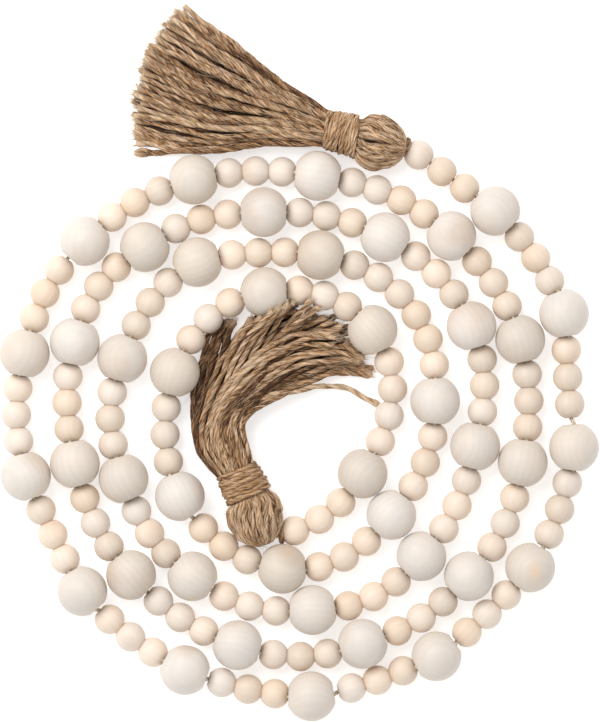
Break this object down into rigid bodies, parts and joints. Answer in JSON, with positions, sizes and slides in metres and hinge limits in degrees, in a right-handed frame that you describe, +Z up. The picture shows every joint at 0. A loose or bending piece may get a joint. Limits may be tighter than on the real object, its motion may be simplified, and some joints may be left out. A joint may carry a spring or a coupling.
{
  "type": "wood bead garland",
  "caption": "Garland of large and small turned wood beads on a string, laid flat in a spiral, with a bound jute tassel at each end.",
  "frame": {"origin": "on the surface that the garland lies on, under the middle of its outline", "axes": "+Z up; +Y along the longer side of the laid-out garland, towards the outer tassel; +X across it, to the right as seen from above"},
  "size_m": [0.2392, 0.2868, 0.0213],
  "materials": {
    "light_wood": "bare turned wood, finely sanded",
    "jute_yarn": "plied jute yarn, matt with stray fibres"
  },
  "bodies": {
    "root": {"beads_00": "light_wood", "beads_01": "light_wood", "beads_02": "light_wood", "beads_03": "light_wood", "beads_04": "light_wood", "beads_05": "light_wood", "beads_06": "light_wood", "beads_07": "light_wood", "beads_08": "light_wood", "beads_09": "light_wood", "beads_10": "light_wood", "beads_11": "light_wood", "beads_12": "light_wood", "beads_13": "light_wood", "beads_14": "light_wood", "beads_15": "light_wood", "beads_16": "light_wood", "beads_17": "light_wood", "beads_18": "light_wood", "beads_19": "light_wood", "beads_20": "light_wood", "beads_21": "light_wood", "beads_22": "light_wood", "beads_23": "light_wood", "beads_24": "light_wood", "beads_25": "light_wood", "beads_26": "light_wood", "beads_27": "light_wood", "beads_28": "light_wood", "beads_29": "light_wood", "beads_30": "light_wood", "beads_31": "light_wood", "beads_32": "light_wood", "beads_33": "light_wood", "beads_34": "light_wood", "beads_35": "light_wood", "beads_36": "light_wood", "beads_37": "light_wood", "beads_38": "light_wood", "beads_39": "light_wood", "beads_40": "light_wood", "beads_41": "light_wood", "beads_42": "light_wood", "tassel_first": "jute_yarn", "binding_first": "jute_yarn", "tassel_second": "jute_yarn", "binding_second": "jute_yarn"}
  },
  "joints": []
}
